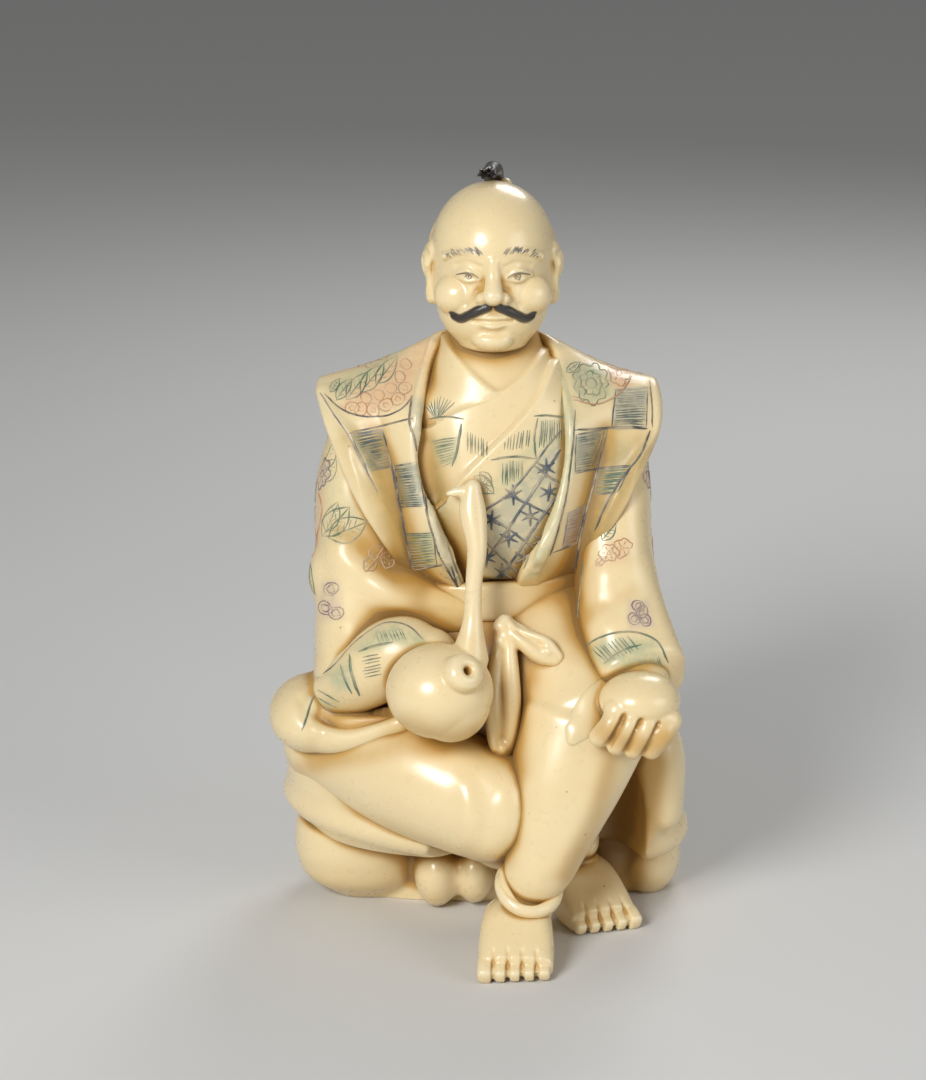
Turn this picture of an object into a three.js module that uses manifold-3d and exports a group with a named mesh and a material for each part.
// A seated man in court dress holding a long-necked gourd: a cast resin netsuke figure.
// The figure is cast in separate pieces that are split along the edges of the clothes.
// Each piece keeps a locating stub that goes into its neighbour, and a glue gap all round.
// Millimetres, +Z up, and the figure looks along -Y.
// The origin is in the middle of the stone's underside.
import * as THREE from "three";
import { mergeVertices } from "three/addons/utils/BufferGeometryUtils.js";
import Module from "manifold-3d";

const wasm = await Module();
wasm.setup();

// Driving dimensions: fits
const GLUE_GAP = 0.3;
const PEG_RADIUS = 1.5;
const PEG_LENGTH = 5;

// Driving dimensions: the stone that the figure sits on
const STONE_WIDTH = 46;
const STONE_DEPTH = 21;
const STONE_HEIGHT = 15;
const LOBE_HEIGHT = 10.5;
const CORD_HOLE_RADIUS = 1.6;
const CORD_HOLE_SPACING = 10;
const CORD_HOLE_HEIGHT = 6;
const CORD_TUNNEL_DEPTH = 7;

// Driving dimensions: the robe over the stone
const HEM_HEIGHT = 11.2;
const HEM_WIDTH = 52.5;
const HEM_DEPTH = 33;
const HEM_ROLL = 5.4;
const HEM_LIFT = 5;
const FOLD_THICKNESS = 6.4;
const HIP_WIDTH = 51;
const WAIST_HEIGHT = 44.5;
const WAIST_WIDTH = 29;
const WAIST_DEPTH = 23;
const BODY_OFFSET = 1.6;
const BODY_FORWARD = 5.5;

// Driving dimensions: sash
const SASH_HEIGHT = 5.2;
const SASH_THICKNESS = 2.6;
const SASH_CROWN = 0.7;
const LOOP_LENGTH = 7;
const LOOP_THICKNESS = 3.6;
const TAIL_LENGTH = 15.5;

// Driving dimensions: kimono and vest
const CHEST_WIDTH = 34;
const CHEST_DEPTH = 22;
const CHEST_RISE = 17;
const SHOULDER_RISE = 24;
const NECK_RISE = 7.5;
const COLLAR_WIDTH = 3.2;
const VEST_THICKNESS = 2.0;
const WING_SPAN = 44.4;
const WING_DROP = 5.6;

// Driving dimensions: sleeves and arms
const SLEEVE_WIDTH = 11;
const SLEEVE_DEPTH = 18;
const POUCH_REACH = 28;
const POUCH_DROP = 17;
const ELBOW_DROP = 13.4;
const FOREARM_THICKNESS = 10.6;

// Driving dimensions: legs and feet
const THIGH_THICKNESS = 16;
const KNEE_HEIGHT = 30;
const KNEE_REACH = 23;
const SHIN_THICKNESS = 12.6;
const ANKLE_HEIGHT = 9.4;
const ANKLE_THICKNESS = 6.6;
const CUFF_THICKNESS = 2.3;
const FOOT_LENGTH = 15;
const FOOT_WIDTH = 9.4;
const FOOT_THICKNESS = 5;
const TOE_THICKNESS = 1.9;

// Driving dimensions: hand
const HAND_WIDTH = 10.4;
const HAND_THICKNESS = 6.2;
const FINGER_THICKNESS = 2.9;
const FINGER_LENGTH = 6.2;

// Driving dimensions: head
const HEAD_WIDTH = 15.8;
const HEAD_DEPTH = 18.6;
const HEAD_HEIGHT = 20.4;
const NECK_THICKNESS = 10.4;
const EAR_HEIGHT = 8.6;
const EAR_SPREAD = 18.6;
const TOPKNOT_LENGTH = 11;
const TOPKNOT_THICKNESS = 2.4;

// Driving dimensions: gourd
const GOURD_WIDTH = 13.8;
const GOURD_NECK_THICKNESS = 2.9;
const GOURD_NECK_LENGTH = 24;
const GOURD_NUB_WIDTH = 5;
const GOURD_HOLE_WIDTH = 0.9;

// The neck stands on the shoulders, so its height over the waist follows them.
const NECK_OVER_WAIST = SHOULDER_RISE + NECK_RISE;

// How far the pieces above and below the sash stay from its middle.
const SASH_EDGE = SASH_HEIGHT / 2 + SASH_CROWN + GLUE_GAP;

const UP = new THREE.Vector3(0, 0, 1);
const RIGHT = new THREE.Vector3(1, 0, 0);
const FRONT = new THREE.Vector3(0, -1, 0);
const FLOOR_SLAB = 40;

const at = (x, y, z) => new THREE.Vector3(x, y, z);
const from = (anchor, x, y, z) => anchor.clone().add(at(x, y, z));
const between = (a, b, share) => a.clone().lerp(b, share);

// Anchor points that the pieces are hung on, so that a limb stretches with the places it joins.
const WAIST = at(BODY_OFFSET, -BODY_FORWARD, WAIST_HEIGHT);
const NECK = from(WAIST, 0, CHEST_DEPTH * 0.045, NECK_OVER_WAIST);
const RIGHT_SHOULDER = from(WAIST, -CHEST_WIDTH * 0.482, CHEST_DEPTH * 0.055, SHOULDER_RISE * 0.96);
const LEFT_SHOULDER = from(WAIST, CHEST_WIDTH * 0.482, CHEST_DEPTH * 0.055, SHOULDER_RISE * 0.96);
const HIP_HEIGHT = STONE_HEIGHT + THIGH_THICKNESS * 0.53;
const RIGHT_HIP = at(-HIP_WIDTH * 0.363, -BODY_FORWARD * 1.55, HIP_HEIGHT);
const RIGHT_KNEE = at(HIP_WIDTH * 0.03, -KNEE_REACH, STONE_HEIGHT + THIGH_THICKNESS * 0.25);
const RIGHT_ANKLE = at(HIP_WIDTH * 0.255, -KNEE_REACH * 0.52, ANKLE_HEIGHT * 1.04);
const LEFT_HIP = at(HIP_WIDTH * 0.196, -BODY_FORWARD * 1.27, HIP_HEIGHT);
const LEFT_KNEE = at(HIP_WIDTH * 0.286, -KNEE_REACH, KNEE_HEIGHT);
const LEFT_ANKLE = at(HIP_WIDTH * 0.133, -KNEE_REACH * 1.2, ANKLE_HEIGHT);
const LEFT_WRIST = from(LEFT_KNEE, HAND_WIDTH * 0.54, HAND_WIDTH * 0.05, HAND_THICKNESS);
const RIGHT_ELBOW = from(WAIST, -POUCH_REACH * 0.707, -SLEEVE_DEPTH * 0.522, -ELBOW_DROP);
const RIGHT_WRIST = at(0.79, -0.47, 0.66).multiplyScalar(FOREARM_THICKNESS).add(RIGHT_ELBOW);
const GOURD = from(RIGHT_WRIST, GOURD_WIDTH * 0.35, -GOURD_WIDTH * 0.486, -GOURD_WIDTH * 0.13);

// A closed skin over a row of rings, with a pole at each end.
function skin(rings, startPole, endPole) {
  const sides = rings[0].length;
  const points = [startPole, ...rings.flat(), endPole];
  const last = points.length - 1;
  const index = [];
  for (let k = 0; k < sides; k++) {
    const next = (k + 1) % sides;
    index.push(0, 1 + next, 1 + k);
    for (let r = 0; r + 1 < rings.length; r++) {
      const low = 1 + r * sides;
      const high = low + sides;
      index.push(low + k, low + next, high + next, low + k, high + next, high + k);
    }
    const top = 1 + (rings.length - 1) * sides;
    index.push(top + k, top + next, last);
  }
  return new THREE.BufferGeometry().setFromPoints(points).setIndex(index);
}

// One station of a limb: its centre, half-width and half-depth, and the way that the width runs.
const station = (centre, wide, deep, side = null) => ({ centre, wide, deep, side });

// A rounded solid lofted along a smooth spine through the stations.
// A square value above 2 gives a boxier section, round sets how far the ends are domed,
// caps is the number of rings in a dome, and level keeps every ring flat instead of square to the spine.
function limb(stations, options = {}, grow = 0) {
  const { sides = 12, steps = 2, square = 2, round = 1, caps = 2, side = RIGHT, level = false } = options;
  const spine = new THREE.CatmullRomCurve3(stations.map((s) => s.centre));
  const girth = new THREE.CatmullRomCurve3(stations.map((s) => at(s.wide, s.deep, 0)));
  const sideways = new THREE.CatmullRomCurve3(stations.map((s) => s.side ?? side));
  const climb = Math.sign(stations.at(-1).centre.z - stations[0].centre.z);
  const heading = (t) => (level ? UP.clone().multiplyScalar(climb) : spine.getTangent(t));
  const bend = (value) => Math.sign(value) * Math.abs(value) ** (2 / square);
  const ringAt = (t, push, scale) => {
    const along = heading(t);
    const across = sideways.getPoint(t);
    across.addScaledVector(along, -across.dot(along)).normalize();
    const through = along.clone().cross(across);
    const half = girth.getPoint(t);
    const centre = spine.getPoint(t).addScaledVector(along, push);
    return Array.from({ length: sides }, (_, k) => {
      const turn = (2 * Math.PI * k) / sides;
      return centre
        .clone()
        .addScaledVector(across, (half.x + grow) * scale * bend(Math.cos(turn)))
        .addScaledVector(through, (half.y + grow) * scale * bend(Math.sin(turn)));
    });
  };
  const dome = (s) => round * Math.min(s.wide, s.deep) + grow;
  const startDome = dome(stations[0]);
  const endDome = dome(stations.at(-1));
  const capTurns = Array.from({ length: caps }, (_, k) => (Math.PI / 2) * ((k + 1) / (caps + 1)));
  const startCap = capTurns.map((a) => ringAt(0, -startDome * Math.sin(a), Math.cos(a))).reverse();
  const endCap = capTurns.map((a) => ringAt(1, endDome * Math.sin(a), Math.cos(a)));
  const spans = (stations.length - 1) * steps;
  const middle = Array.from({ length: spans + 1 }, (_, k) => ringAt(k / spans, 0, 1));
  const pole = (t, push) => spine.getPoint(t).addScaledVector(heading(t), push);
  return solid(skin([...startCap, ...middle, ...endCap], pole(0, -startDome), pole(1, endDome)));
}

// An ellipsoid with the given half-sizes.
function ellipsoid(centre, wide, deep, high, grow = 0, segments = 10) {
  const ball = new THREE.SphereGeometry(1, segments, Math.round(segments * 0.65));
  ball.rotateX(Math.PI / 2);
  ball.scale(wide + grow, deep + grow, high + grow);
  return solid(ball.translate(centre.x, centre.y, centre.z));
}

// A round bar from one point to another.
function bar(start, end, radius, grow = 0, sides = 8) {
  return limb([station(start, radius, radius), station(end, radius, radius)], {
    sides,
    steps: 1,
    round: 0.5,
    caps: 1,
    side: Math.abs(end.x - start.x) > Math.abs(end.z - start.z) ? UP : RIGHT,
  }, grow);
}

// An elliptical ring with a round section that lies square to the axis.
function ring(centre, wide, deep, thickness, axis, grow, segments) {
  const torus = new THREE.TorusGeometry(1, 0.25, 6, segments);
  const place = torus.attributes.position;
  for (let i = 0; i < place.count; i++) {
    const turn = Math.atan2(place.getY(i), place.getX(i));
    const out = (Math.hypot(place.getX(i), place.getY(i)) - 1) / 0.25;
    const half = thickness / 2 + grow;
    place.setX(i, (wide + out * half) * Math.cos(turn));
    place.setY(i, (deep + out * half) * Math.sin(turn));
    place.setZ(i, (place.getZ(i) / 0.25) * half);
  }
  torus.applyQuaternion(new THREE.Quaternion().setFromUnitVectors(UP, axis.clone().normalize()));
  return solid(torus.translate(centre.x, centre.y, centre.z));
}

// A three.js geometry as a solid that can be joined and cut.
function solid(geometry) {
  geometry.deleteAttribute("normal");
  geometry.deleteAttribute("uv");
  const merged = mergeVertices(geometry, 1e-4);
  return new wasm.Manifold(
    new wasm.Mesh({
      numProp: 3,
      vertProperties: merged.attributes.position.array,
      triVerts: new Uint32Array(merged.index.array),
    }),
  );
}

const join = (solids) => solids.reduce((whole, next) => whole.add(next));

// Everything below the table that the figure stands on.
function floorSlab() {
  const reach = 2 * (STONE_WIDTH + STONE_DEPTH);
  return solid(new THREE.BoxGeometry(reach, reach, FLOOR_SLAB).translate(0, 0, -FLOOR_SLAB / 2));
}

// The topknot: a queue of hair folded forward over the crown, pegged into the back of the head.
function topknot(grow) {
  const half = TOPKNOT_THICKNESS / 2;
  const crown = from(NECK, 0, 0, HEAD_HEIGHT * 1.07);
  const bind = from(crown, half * 0.17, HEAD_DEPTH * 0.27, half * 0.17);
  const root = from(crown, half * 0.17, HEAD_DEPTH * 0.35, -HEAD_HEIGHT * 0.2);
  return join([
    limb([
      station(root, half * 1.1, half * 1.1),
      station(bind, half * 1.05, half),
      station(from(bind, -half * 0.33, -TOPKNOT_LENGTH * 0.4, half * 0.75), half * 0.85, half * 0.75),
      station(from(bind, -half * 0.83, -TOPKNOT_LENGTH * 0.62, half * 0.92), half * 1.2, half * 0.8),
    ], { sides: 8, round: 0.6, caps: 1 }, grow),
    bar(root, from(root, 0, -PEG_LENGTH * 0.6, -PEG_LENGTH * 0.6), PEG_RADIUS * 0.6, grow, 6),
  ]);
}

// The head, with ears, nose, a band of side hair and the neck that goes down into the kimono.
function head(grow) {
  const w = HEAD_WIDTH / 2;
  const d = HEAD_DEPTH / 2;
  const chin = from(NECK, 0, -d * 1.03, HEAD_HEIGHT * 0.06);
  const level = (share, wide, deep, back) =>
    station(from(chin, 0, d * back, HEAD_HEIGHT * share), w * wide, d * deep);
  const skull = limb([
    level(0, 0.58, 0.42, 0.48),
    level(0.1, 0.83, 0.68, 0.61),
    level(0.31, 0.96, 0.88, 0.75),
    level(0.54, 1, 1, 0.85),
    level(0.74, 0.96, 0.96, 0.9),
    level(0.88, 0.74, 0.78, 0.935),
  ], { sides: 16, round: 0.42, level: true }, grow);
  const hairMiddle = from(chin, 0, d * 1.12, HEAD_HEIGHT * 0.56);
  const hair = ellipsoid(hairMiddle, w * 1.08, d * 0.84, HEAD_HEIGHT * 0.38, grow, 12);
  const noseTip = from(chin, 0, -d * 0.15, HEAD_HEIGHT * 0.36);
  const nose = ellipsoid(noseTip, w * 0.19, d * 0.16, HEAD_HEIGHT * 0.11, grow, 7);
  const lobe = (EAR_SPREAD / 2 - w * 0.9) / 2;
  const ears = [-1, 1].map((hand) => {
    const middle = from(chin, hand * (w * 0.9 + lobe), d * 0.9, HEAD_HEIGHT * 0.4);
    return ellipsoid(middle, lobe, EAR_HEIGHT * 0.26, EAR_HEIGHT / 2, grow, 8);
  });
  const hairy = w * 0.09;
  const moustache = [-1, 1].map((hand) => {
    const lip = from(chin, 0, -d * 0.075, HEAD_HEIGHT * 0.25);
    return limb([
      station(from(lip, hand * w * 0.04, hairy * 0.3, hairy * 0.4), hairy, hairy * 0.86),
      station(from(lip, hand * w * 0.3, hairy * 0.7, -hairy), hairy, hairy * 0.86),
      station(from(lip, hand * w * 0.63, hairy * 3.3, hairy * 0.4), hairy * 0.5, hairy * 0.57),
    ], { sides: 6, caps: 1, side: UP }, grow);
  });
  const thick = NECK_THICKNESS / 2;
  const neck = limb([
    station(from(NECK, 0, -thick * 0.12, thick * 1.15), thick, thick),
    station(from(NECK, 0, 0, -thick * 0.2), thick, thick * 0.96),
    station(from(NECK, 0, 0, -thick * 1.15), thick * 0.84, thick * 0.8),
  ], { sides: 10, steps: 1, round: 0.3, caps: 1 }, grow);
  return join([skull, hair, nose, ...ears, ...moustache, neck]);
}

// The gourd: a round body, a drilled blossom end and a long neck that leans on the chest.
function gourd(grow) {
  const half = GOURD_WIDTH / 2;
  const thin = GOURD_NECK_THICKNESS / 2;
  const body = ellipsoid(GOURD, half, half * 0.98, half * 0.92, grow, 16);
  const neckFoot = from(GOURD, half * 0.64, half * 0.32, half * 0.55);
  const neckTop = from(GOURD, half * 0.58, half * 1.01, half * 0.55 + GOURD_NECK_LENGTH * 0.86);
  const neck = limb([
    station(neckFoot, thin * 1.7, thin * 1.7),
    station(between(neckFoot, neckTop, 0.2), thin * 1.08, thin * 1.08),
    station(between(neckFoot, neckTop, 0.6), thin, thin),
    station(between(neckFoot, neckTop, 0.9), thin * 1.15, thin),
    station(neckTop, thin * 0.8, thin * 0.75),
  ], { sides: 10 }, grow);
  const nubAxis = at(0.38, -0.86, 0.34).normalize();
  const nubSeat = GOURD.clone().addScaledVector(nubAxis, half * 0.92);
  const nubFace = GOURD.clone().addScaledVector(nubAxis, half * 1.13);
  const nub = limb([
    station(nubSeat, GOURD_NUB_WIDTH / 2, GOURD_NUB_WIDTH / 2),
    station(nubFace, GOURD_NUB_WIDTH * 0.36, GOURD_NUB_WIDTH * 0.36),
  ], { sides: 12, steps: 1, round: 0.25, caps: 1 }, grow);
  const peg = bar(between(GOURD, RIGHT_WRIST, 0.4), between(GOURD, RIGHT_WRIST, 1.1), PEG_RADIUS, grow);
  const whole = join([body, neck, nub, peg]);
  if (grow > 0) return whole;
  const drill = bar(
    GOURD.clone().addScaledVector(nubAxis, half * 0.6),
    GOURD.clone().addScaledVector(nubAxis, half * 1.6),
    GOURD_HOLE_WIDTH / 2,
    0,
    8,
  );
  return whole.subtract(drill);
}

// The left hand on the knee: a back, four fingers, a thumb laid along the thigh, and the wrist.
function leftHand(grow) {
  const palm = from(LEFT_KNEE, HAND_WIDTH * 0.5, -HAND_WIDTH * 0.33, HAND_THICKNESS * 0.63);
  const thin = FINGER_THICKNESS / 2;
  const spread = HAND_WIDTH * 0.76;
  const back = ellipsoid(palm, HAND_WIDTH / 2, HAND_WIDTH * 0.44, HAND_THICKNESS / 2, grow, 12);
  const fingers = [0, 1, 2, 3].map((n) => {
    const share = n / 3 - 0.5;
    const ahead = thin * (1.6 - 0.83 * Math.abs(share));
    const knuckle = from(palm, share * spread, -ahead, thin * (0.14 - 0.7 * share ** 2));
    const drop = FINGER_LENGTH * (n === 0 ? 0.72 : n === 3 ? 0.7 : 0.86);
    const tip = from(knuckle, share * thin, thin * (Math.max(share, 0) - 0.83), -drop);
    const bend = between(knuckle, tip, 0.45).add(at(0, -thin, 0));
    return limb([
      station(knuckle, thin, thin),
      station(bend, thin, thin),
      station(tip, thin * 0.8, thin * 0.8),
    ], { sides: 7, steps: 2, caps: 1 }, grow);
  });
  const thumb = limb([
    station(from(palm, -HAND_WIDTH * 0.34, -thin * 0.83, thin * 0.28), thin, thin),
    station(from(palm, -HAND_WIDTH * 0.56, -thin * 2.3, -thin * 0.7), thin * 1.25, thin),
    station(from(palm, -HAND_WIDTH * 0.7, -thin * 3.4, -thin * 2.5), thin, thin * 0.8),
  ], { sides: 7, caps: 1 }, grow);
  const stubEnd = from(LEFT_WRIST, -thin * 0.4, PEG_LENGTH, PEG_LENGTH * 0.52);
  const wrist = limb([
    station(from(palm, 0, thin * 0.7, thin * 0.14), HAND_WIDTH * 0.4, HAND_THICKNESS * 0.5),
    station(LEFT_WRIST, HAND_WIDTH * 0.375, HAND_THICKNESS * 0.48),
    station(stubEnd, HAND_WIDTH * 0.29, HAND_THICKNESS * 0.42),
  ], { sides: 10, steps: 1, round: 0.4, caps: 1 }, grow);
  return join([back, ...fingers, thumb, wrist]);
}

// The bow of the sash: a knot, a short loop to the side and a long loop that hangs between the knees.
function sashBow(grow) {
  const fat = LOOP_THICKNESS / 2;
  const knot = from(WAIST, SASH_HEIGHT * 0.42, -WAIST_DEPTH * 0.64, -SASH_HEIGHT * 0.58);
  const loopTip = from(knot, LOOP_LENGTH * 0.8, 0, -LOOP_LENGTH * 0.6);
  const tailTip = from(knot, -fat * 0.5, -fat * 1.8, -TAIL_LENGTH);
  const pegRoot = from(knot, 0, fat * 0.55, fat * 0.28);
  return join([
    limb([
      station(from(knot, 0, fat * 0.67, fat * 0.67), fat * 0.78, fat * 0.9),
      station(between(knot, loopTip, 0.5), fat * 1.1, fat * 0.95),
      station(loopTip, fat * 1.17, fat * 0.83),
    ], { sides: 9, caps: 1, side: FRONT }, grow),
    limb([
      station(from(knot, -fat * 0.22, fat * 0.55, fat * 0.45), fat * 0.83, fat * 0.95),
      station(between(knot, tailTip, 0.5).add(at(0, -fat * 0.67, 0)), fat * 1.17, fat),
      station(tailTip, fat * 1.05, fat * 0.83),
    ], { sides: 9, caps: 1 }, grow),
    bar(pegRoot, from(pegRoot, 0, PEG_LENGTH, 0), PEG_RADIUS * 0.8, grow),
  ]);
}

// The sash: a plain band round the waist, open in the middle for the body's stub.
function sash(grow) {
  const band = (wide, deep, high) =>
    limb([
      station(from(WAIST, 0, 0, -high / 2), wide, deep),
      station(from(WAIST, 0, 0, high / 2), wide * 0.99, deep * 0.99),
    ], { sides: 24, steps: 1, round: SASH_CROWN / deep, caps: 1 });
  const outer = band(WAIST_WIDTH / 2 + grow, WAIST_DEPTH / 2 + grow, SASH_HEIGHT + 2 * grow);
  const wall = SASH_THICKNESS + 2 * grow;
  const inner = band(WAIST_WIDTH / 2 + grow - wall, WAIST_DEPTH / 2 + grow - wall, SASH_HEIGHT * 2);
  return outer.subtract(inner);
}

// Half of the sleeveless vest: front panel, stiff shoulder wing and half of the back, as one strip.
// hand is -1 for the figure's right half and 1 for its left half.
function vestHalf(hand, grow) {
  const half = CHEST_WIDTH / 2;
  const front = -CHEST_DEPTH / 2;
  const back = CHEST_DEPTH * 0.523;
  const thick = VEST_THICKNESS;
  const lapelFoot = half * (hand < 0 ? 0.2 : 0.34);
  const chestLow = CHEST_RISE * 0.53;
  const ridge = NECK_OVER_WAIST - thick * 0.2;
  const nape = NECK_OVER_WAIST - thick * 1.3;
  const wing = WING_SPAN / 2 - hand * thick * 0.35;
  const seam = GLUE_GAP * 0.83;
  const strip = (inX, inY, inZ, outX, outY, outZ) => {
    const inner = from(WAIST, hand * inX, inY, inZ);
    const outer = from(WAIST, hand * outX, outY, outZ);
    const reach = outer.clone().sub(inner).multiplyScalar(hand);
    return station(between(inner, outer, 0.5), reach.length() / 2, VEST_THICKNESS / 2, reach.normalize());
  };
  return limb([
    strip(lapelFoot, front - thick * 0.6, thick * 0.6, half * 0.65, front + thick * 0.3, thick * 0.9),
    strip(half * 0.41, front - thick * 0.9, chestLow, half * 0.835, front + thick * 0.5, chestLow),
    strip(half * 0.553, front - thick * 0.7, CHEST_RISE, half * 1.08, front + thick * 1.3, CHEST_RISE * 0.94),
    strip(half * 0.553, front * 0.8, SHOULDER_RISE * 1.02, half * 1.27, front * 0.42, SHOULDER_RISE * 0.967),
    strip(half * 0.418, thick * 0.9, ridge, wing, thick * 0.3, ridge - WING_DROP),
    strip(seam, back * 0.75, nape, wing * 0.955, back * 0.52, nape - WING_DROP),
    strip(seam, back * 0.92, CHEST_RISE, half, back * 0.73, CHEST_RISE * 0.88),
    strip(seam, back, thick * 0.6, half * 0.62, back - thick * 1.1, thick * 0.6),
  ], { sides: 12, square: 5, round: 0.3, caps: 1 }, grow);
}

// The right forearm in its inner sleeve, which holds the gourd against the body.
function rightForearm(grow) {
  const half = FOREARM_THICKNESS / 2;
  return limb([
    station(RIGHT_ELBOW, half * 0.75, half * 0.8),
    station(from(RIGHT_ELBOW, half * 0.68, -half * 0.6, half * 0.68), half * 0.95, half * 0.95),
    station(RIGHT_WRIST, half, half),
    station(from(RIGHT_WRIST, half * 0.6, -half * 0.18, 0), half * 0.8, half * 0.8),
  ], { side: FRONT }, grow);
}

// The right sleeve: it falls from the shoulder, swells into a pouch and turns up in a rolled lip.
function rightSleeve(grow) {
  const w = SLEEVE_WIDTH / 2;
  const d = SLEEVE_DEPTH / 2;
  const pouch = from(WAIST, -POUCH_REACH + w * 0.8, -d * 0.61, -POUCH_DROP);
  const foot = from(pouch, w * 0.62, -d * 0.06, w * 0.55);
  const fall = (share, aside, behind) =>
    between(RIGHT_SHOULDER, foot, share).add(at(w * aside, d * behind, 0));
  const drop = limb([
    station(fall(0.013, 0.15, 0), w * 0.84, d * 0.75),
    station(fall(0.243, -0.05, 0.13), w, d),
    station(fall(0.54, 0.03, 0.21), w * 0.84, d * 1.1),
    station(fall(0.784, 0.15, 0.18), w * 0.92, d * 1.1),
    station(foot, w * 1.15, d * 0.95),
  ], { round: 0.7 }, grow);
  const bag = ellipsoid(pouch, w * 1.09, d * 0.93, w * 0.91, grow, 12);
  const lip = limb([
    station(from(pouch, -w * 0.29, -d * 0.11, -w * 0.11), w * 0.76, w * 0.73),
    station(from(pouch, w * 0.73, -d * 0.73, -w * 0.11), w * 0.53, w * 0.55),
    station(from(pouch, w * 2.1, -d * 1.07, w * 0.36), w * 0.36, w * 0.4),
  ], { sides: 9, side: FRONT }, grow);
  const pegEnd = from(RIGHT_SHOULDER, PEG_LENGTH * 1.6, 0, -PEG_LENGTH * 0.4);
  const peg = bar(RIGHT_SHOULDER, pegEnd, PEG_RADIUS, grow);
  return join([drop, bag, lip, peg]);
}

// The left sleeve: it falls from the shoulder and reaches forward to the hand on the knee.
function leftSleeve(grow) {
  const w = SLEEVE_WIDTH / 2;
  const d = SLEEVE_DEPTH / 2;
  const fall = (share, aside, behind) =>
    between(LEFT_SHOULDER, LEFT_WRIST, share).add(at(w * aside, d * behind, 0));
  const drop = limb([
    station(fall(0.016, -0.18, 0), w * 0.84, d * 0.75),
    station(fall(0.32, -0.24, 0.58), w * 0.9, d),
    station(fall(0.64, -0.2, 0.91), w * 0.78, d * 1.05),
    station(fall(0.95, -0.1, 0.4), w * 1.06, d * 0.75),
    station(fall(1.02, 0.1, 0.15), w * 1.08, d * 0.62),
  ], { round: 0.3 }, grow);
  const pegEnd = from(LEFT_SHOULDER, -PEG_LENGTH * 1.6, 0, -PEG_LENGTH * 0.4);
  const peg = bar(LEFT_SHOULDER, pegEnd, PEG_RADIUS, grow);
  return join([drop, peg]);
}

// The kimono's body: a barrel with crossed collar bands, and a stub that goes down through the sash.
function kimonoBody(grow) {
  const w = CHEST_WIDTH / 2;
  const d = CHEST_DEPTH / 2;
  const barrel = limb([
    station(from(WAIST, 0, 0, SASH_EDGE + d * 0.09), w * 0.8, d * 0.9),
    station(from(WAIST, 0, -d * 0.05, CHEST_RISE * 0.5), w * 0.9, d * 0.98),
    station(from(WAIST, 0, -d * 0.02, CHEST_RISE), w, d),
    station(from(WAIST, 0, d * 0.09, SHOULDER_RISE), w * 0.9, d * 0.84),
    station(from(NECK, 0, d * 0.05, -COLLAR_WIDTH * 0.81), w * 0.52, d * 0.64),
    station(from(NECK, 0, 0, -COLLAR_WIDTH * 0.37), w * 0.44, d * 0.54),
  ], { sides: 16, steps: 1, round: 0.1, caps: 1, level: true }, grow);
  const band = COLLAR_WIDTH / 2;
  const collar = (hand, foot) =>
    limb([
      station(from(NECK, hand * w * 0.376, 0, -band * 0.38), band, band * 0.75),
      station(from(NECK, hand * w * 0.306, -d * 0.64, -band * 3.1), band, band * 0.9),
      station(foot, band, band * 0.9),
    ], { sides: 8, square: 3, round: 0.4, caps: 1 }, grow);
  const crossing = from(WAIST, 0, -d * 1.03, CHEST_RISE);
  const stubWide = WAIST_WIDTH / 2 - SASH_THICKNESS - 2 * GLUE_GAP;
  const stubDeep = WAIST_DEPTH / 2 - SASH_THICKNESS - 2 * GLUE_GAP;
  const stub = limb([
    station(from(WAIST, 0, 0, SASH_EDGE + PEG_LENGTH * 0.4), stubWide, stubDeep),
    station(from(WAIST, 0, 0, -SASH_EDGE), stubWide * 0.94, stubDeep * 0.94),
    station(from(WAIST, 0, 0, -SASH_EDGE - PEG_LENGTH * 0.3), stubWide * 0.82, stubDeep * 0.82),
  ], { sides: 14, steps: 1, round: 0.2, caps: 1 }, grow);
  const underCollar = collar(-1, from(crossing, COLLAR_WIDTH * 0.31, 0, COLLAR_WIDTH * 0.31));
  const overCollar = collar(1, from(crossing, -COLLAR_WIDTH * 1.75, 0, -COLLAR_WIDTH * 0.5));
  return join([barrel, underCollar, overCollar, stub]);
}

// The rolled hem round the left ankle.
function ankleCuff(grow) {
  const axis = LEFT_KNEE.clone().sub(LEFT_ANKLE);
  const radius = ANKLE_THICKNESS / 2 + CUFF_THICKNESS * 0.16;
  const middle = from(LEFT_ANKLE, -CUFF_THICKNESS * 0.09, 0, -CUFF_THICKNESS * 0.43);
  return ring(middle, radius, radius, CUFF_THICKNESS, axis, grow, 18);
}

// The left leg: thigh, raised knee and a shin that tapers to a stub in the foot.
function leftLeg(grow) {
  const thigh = THIGH_THICKNESS / 2;
  const shin = SHIN_THICKNESS / 2;
  const ankle = ANKLE_THICKNESS / 2;
  return join([
    limb([
      station(LEFT_HIP, thigh * 0.92, thigh * 0.92),
      station(between(LEFT_HIP, LEFT_KNEE, 0.6), thigh * 1.06, thigh),
      station(from(LEFT_KNEE, 0, thigh * 0.31, 0), thigh * 1.02, thigh * 0.95),
    ], { side: RIGHT }, grow),
    limb([
      station(from(LEFT_KNEE, -thigh * 0.075, thigh * 0.075, -thigh * 0.06), thigh * 0.96, thigh * 0.8),
      station(between(LEFT_KNEE, LEFT_ANKLE, 0.42), shin, shin * 0.92),
      station(between(LEFT_KNEE, LEFT_ANKLE, 0.75), shin * 0.76, shin * 0.78),
      station(LEFT_ANKLE, ankle, ankle),
      station(from(LEFT_ANKLE, -ankle * 0.12, 0, -ankle * 0.73), ankle * 0.62, ankle * 0.62),
      station(from(LEFT_ANKLE, -ankle * 0.15, -ankle * 0.09, -ankle * 1.4), ankle * 0.6, ankle * 0.6),
    ], { steps: 1, round: 0.4, caps: 1 }, grow),
  ]);
}

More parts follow.
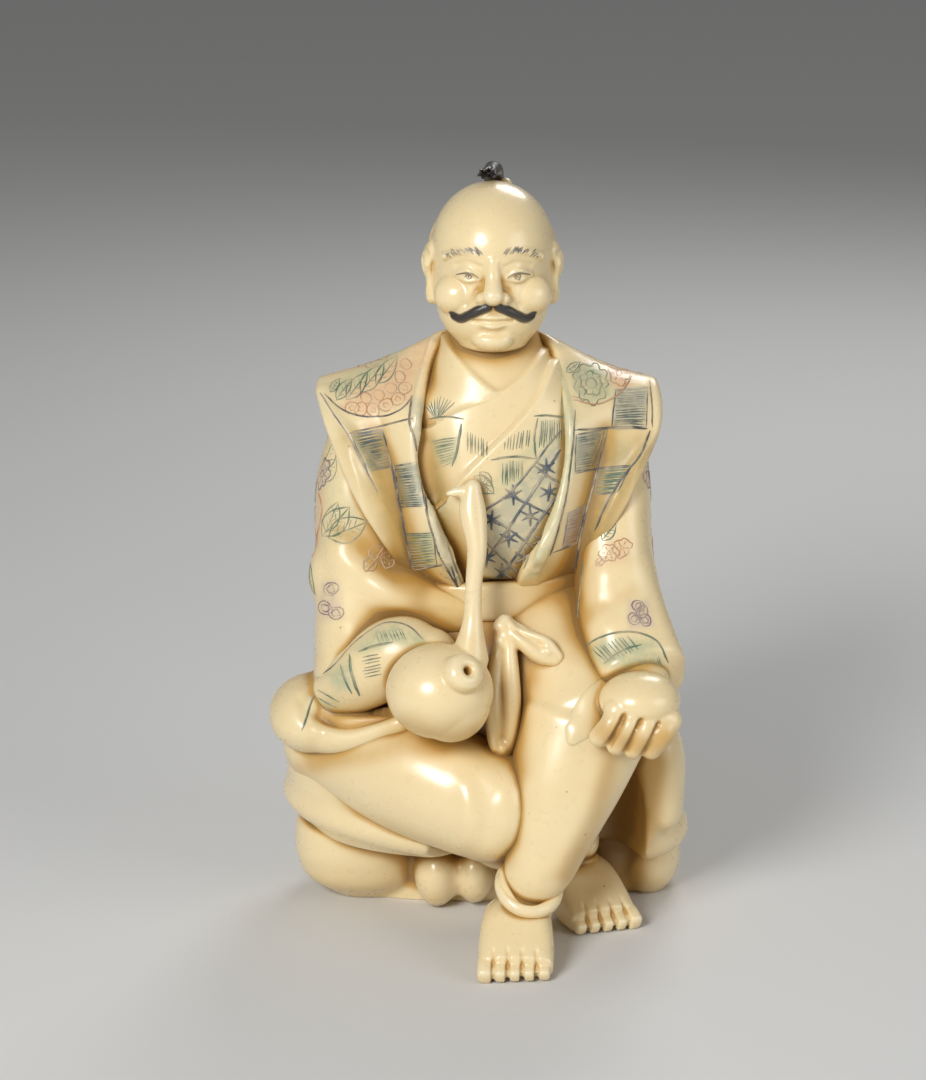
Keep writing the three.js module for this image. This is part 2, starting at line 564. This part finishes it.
// A bare foot from heel to toes, flat underneath.
// offset is how far its middle line lies beside the ankle, turn is the way that it points, in degrees
// from straight ahead, and bigToe says on which side the big toe is.
function foot(ankle, offset, turn, bigToe, grow) {
  const ahead = FRONT.clone().applyAxisAngle(UP, THREE.MathUtils.degToRad(turn));
  const across = RIGHT.clone().applyAxisAngle(UP, THREE.MathUtils.degToRad(turn));
  const spot = (along, aside, height) =>
    at(ankle.x + offset, ankle.y, height).addScaledVector(ahead, along).addScaledVector(across, aside);
  const wide = FOOT_WIDTH / 2;
  const toeLine = FOOT_LENGTH * 0.5;
  const body = limb([
    station(spot(-FOOT_LENGTH * 0.2, 0, FOOT_THICKNESS * 0.62), wide * 0.84, FOOT_THICKNESS * 0.75),
    station(spot(FOOT_LENGTH * 0.08, 0, FOOT_THICKNESS * 0.7), wide * 0.96, FOOT_THICKNESS * 0.86),
    station(spot(FOOT_LENGTH * 0.34, 0, FOOT_THICKNESS * 0.46), wide * 1.02, FOOT_THICKNESS * 0.62),
    station(spot(toeLine, 0, FOOT_THICKNESS * 0.3), wide * 0.96, FOOT_THICKNESS * 0.38),
  ], { sides: 12, steps: 1, side: across, round: 0.5, caps: 1 }, grow);
  const instep = limb([
    station(from(ankle, 0, 0, -ANKLE_THICKNESS / 3), ANKLE_THICKNESS * 0.44, ANKLE_THICKNESS * 0.44),
    station(spot(0, 0, FOOT_THICKNESS * 0.5), wide * 0.7, wide * 0.7),
  ], { sides: 10, steps: 1, round: 0.2, caps: 1 }, grow);
  const pitch = FOOT_WIDTH / 5.1;
  const toes = [0, 1, 2, 3, 4].map((n) => {
    const thick = (TOE_THICKNESS / 2) * (n === 0 ? 1.2 : 1 - 0.05 * n);
    const aside = bigToe * (FOOT_WIDTH / 2 - pitch * (n + 0.5));
    const reach = FOOT_LENGTH * (0.64 - 0.022 * n - (n === 0 ? 0.02 : 0));
    return limb([
      station(spot(toeLine - TOE_THICKNESS * 0.3, aside * 0.96, FOOT_THICKNESS * 0.34), thick, thick),
      station(spot(reach, aside, thick * 0.92), thick, thick * 0.92),
    ], { sides: 7, steps: 1, caps: 1, side: across }, grow);
  });
  const whole = join([body, instep, ...toes]);
  return grow > 0 ? whole : whole.subtract(floorSlab());
}

// The right leg: a thigh that crosses in front of the robe, and a shin that passes behind the left one.
function rightLeg(grow) {
  const thigh = THIGH_THICKNESS / 2;
  const shin = SHIN_THICKNESS / 2;
  const bend = from(RIGHT_KNEE, thigh * 0.19, thigh * 0.375, -thigh * 0.62);
  const front = between(RIGHT_HIP, RIGHT_KNEE, 0.5).add(at(0, -thigh * 0.25, thigh * 0.05));
  return join([
    limb([
      station(RIGHT_HIP, thigh, thigh),
      station(front, thigh * 1.08, thigh * 0.98),
      station(RIGHT_KNEE, thigh * 0.96, thigh * 0.92),
    ], { sides: 14, side: UP }, grow),
    limb([
      station(bend, shin * 0.8, shin * 0.8),
      station(between(bend, RIGHT_ANKLE, 0.6), shin * 0.74, shin * 0.74),
      station(RIGHT_ANKLE, ANKLE_THICKNESS * 0.46, ANKLE_THICKNESS * 0.46),
    ], { sides: 10, steps: 1, side: UP, caps: 1 }, grow),
  ]);
}

// The lobed stone, flat underneath, with the pair of cord holes in its back.
function stone(grow) {
  const w = STONE_WIDTH / 2;
  const d = STONE_DEPTH / 2;
  const lobe = (x, y, wide, deep, high) =>
    ellipsoid(at(w * x, d * y, LOBE_HEIGHT * 0.46), w * wide, d * deep, high * LOBE_HEIGHT * 0.56, grow, 9);
  const whole = join([
    limb([
      station(at(0, 0, 0), w * 0.9, d * 0.92),
      station(at(0, 0, STONE_HEIGHT * 0.5), w * 0.92, d * 0.94),
      station(at(0, 0, STONE_HEIGHT * 0.9), w * 0.7, d * 0.7),
    ], { sides: 18, square: 2.4, round: 0.15, caps: 1, level: true }, grow),
    lobe(-0.72, -0.42, 0.39, 0.8, 1.06),
    lobe(-0.25, -0.81, 0.143, 0.38, 0.95),
    lobe(-0.03, -0.77, 0.13, 0.38, 0.9),
    lobe(0.99, -0.23, 0.21, 0.7, 1.02),
    lobe(-0.52, 0.66, 0.39, 0.53, 1.02),
    lobe(0.08, 0.75, 0.39, 0.48, 1),
    lobe(0.64, 0.64, 0.35, 0.53, 0.98),
  ]);
  return grow > 0 ? whole : whole.subtract(floorSlab()).subtract(cordTunnel());
}

// The bent tunnel that a cord is threaded through, in at one hole and out at the other.
function cordTunnel() {
  const half = CORD_HOLE_SPACING / 2;
  const mouth = STONE_DEPTH * 0.79;
  const bottom = STONE_DEPTH / 2 - CORD_TUNNEL_DEPTH;
  const thick = CORD_HOLE_RADIUS;
  const stop = (x, y) => station(at(x, y, CORD_HOLE_HEIGHT), thick, thick);
  return limb([
    stop(-half, mouth),
    stop(-half, bottom + half),
    stop(-half * 0.7, bottom + half * 0.3),
    stop(0, bottom),
    stop(half * 0.7, bottom + half * 0.3),
    stop(half, bottom + half),
    stop(half, mouth),
  ], { sides: 8, caps: 1, side: UP });
}

// The robe over the hips and the stone, with its rolled hem, two hanging folds at the left side and the
// hollow under the raised knee.
function robe(grow) {
  const rise = WAIST_HEIGHT - HEM_HEIGHT;
  const axis = (aside, share) => at(HEM_WIDTH * aside, -BODY_FORWARD * 0.87, HEM_HEIGHT + rise * share);
  const bell = limb([
    station(axis(0.019, -0.03), HEM_WIDTH * 0.45, HEM_DEPTH * 0.45),
    station(axis(0.008, 0.09), HEM_WIDTH * 0.493, HEM_DEPTH * 0.475),
    station(axis(0.004, 0.21), HEM_WIDTH * 0.5, HEM_DEPTH * 0.5),
    station(axis(-0.023, 0.36), HIP_WIDTH * 0.49, HEM_DEPTH * 0.48),
    station(axis(0.008, 0.57), HIP_WIDTH * 0.43, HEM_DEPTH * 0.43),
    station(from(WAIST, 0, 0, -rise * 0.27), WAIST_WIDTH * 0.62, WAIST_DEPTH * 0.56),
    station(from(WAIST, 0, 0, -SASH_EDGE - WAIST_DEPTH * 0.04), WAIST_WIDTH * 0.49, WAIST_DEPTH * 0.49),
  ], { sides: 22, steps: 1, square: 2.3, round: 0.08, caps: 1, level: true }, grow);
  const lean = at(HEM_LIFT / HEM_WIDTH, 0, 1);
  const roll = ring(axis(0.017, 0.03), HEM_WIDTH * 0.477, HEM_DEPTH * 0.467, HEM_ROLL, lean, grow, 26);
  const fold = FOLD_THICKNESS / 2;
  const hang = (aside, ahead, share) => at(HEM_WIDTH * aside, -HEM_DEPTH * ahead, HEM_HEIGHT + rise * share);
  const outerFold = limb([
    station(hang(0.423, 0.394, 0.595), fold * 0.75, fold * 1.06),
    station(hang(0.465, 0.376, 0.354), fold, fold * 1.44),
    station(hang(0.472, 0.364, 0.1), fold, fold * 1.62),
  ], { round: 0.9 }, grow);
  const innerFold = limb([
    station(hang(0.385, 0.424, 0.595), fold * 0.5, fold * 0.75),
    station(hang(0.385, 0.43, 0.324), fold * 0.53, fold),
    station(hang(0.373, 0.4, 0.024), fold * 0.63, fold * 1.06),
  ], { sides: 10, round: 0.9 }, grow);
  const wide = THIGH_THICKNESS;
  const underKnee = from(LEFT_KNEE, -wide * 0.06, 0, -KNEE_HEIGHT * 0.58);
  const overFoot = at(LEFT_ANKLE.x, -KNEE_REACH * 1.09, HEM_HEIGHT * 0.73);
  const hollow = join([
    ellipsoid(underKnee, wide * 0.46, wide * 0.69, KNEE_HEIGHT * 0.46),
    ellipsoid(overFoot, wide * 0.91, wide * 0.75, wide * 0.95),
  ]);
  return join([bell, roll, outerFold, innerFold]).subtract(hollow);
}

// The resin: ivory for the body, ink black for the topknot.
const ivory = { color: 0xe6cfa0, roughness: 0.28, metalness: 0 };
const ink = { color: 0x2a2624, roughness: 0.5, metalness: 0 };

// The pieces, with those that keep their whole shape first.
// Each later piece is cut back from the earlier ones.
const pieces = [
  ["topknot", topknot, ink],
  ["head", head, ivory],
  ["gourd", gourd, ivory],
  ["left_hand", leftHand, ivory],
  ["sash_bow", sashBow, ivory],
  ["sash", sash, ivory],
  ["vest_right", (grow) => vestHalf(-1, grow), ivory],
  ["vest_left", (grow) => vestHalf(1, grow), ivory],
  ["right_forearm", rightForearm, ivory],
  ["right_sleeve", rightSleeve, ivory],
  ["left_sleeve", leftSleeve, ivory],
  ["kimono_body", kimonoBody, ivory],
  ["ankle_cuff", ankleCuff, ivory],
  ["left_leg", leftLeg, ivory],
  ["left_foot", (grow) => foot(LEFT_ANKLE, -FOOT_WIDTH * 0.21, -2, -1, grow), ivory],
  ["right_leg", rightLeg, ivory],
  ["right_foot", (grow) => foot(RIGHT_ANKLE, 0, 24, 1, grow), ivory],
  ["stone", stone, ivory],
  ["robe", robe, ivory],
];

// Every earlier piece, grown by the glue gap, is taken out of a piece that meets it.
function cutToFit(raw, cutters) {
  return cutters.reduce((body, cutter) => body.subtract(cutter), raw);
}

function meshOf(name, body, finish) {
  const { vertProperties, triVerts } = body.getMesh();
  const geometry = new THREE.BufferGeometry()
    .setAttribute("position", new THREE.BufferAttribute(new Float32Array(vertProperties), 3))
    .setIndex(new THREE.BufferAttribute(new Uint32Array(triVerts), 1));
  geometry.computeVertexNormals();
  const mesh = new THREE.Mesh(geometry, new THREE.MeshStandardMaterial(finish));
  mesh.name = name;
  return mesh;
}

const figure = new THREE.Group();
const cutters = [];
for (const [name, shape, finish] of pieces) {
  figure.add(meshOf(name, cutToFit(shape(0), cutters), finish));
  cutters.push(shape(GLUE_GAP));
}

export default figure;
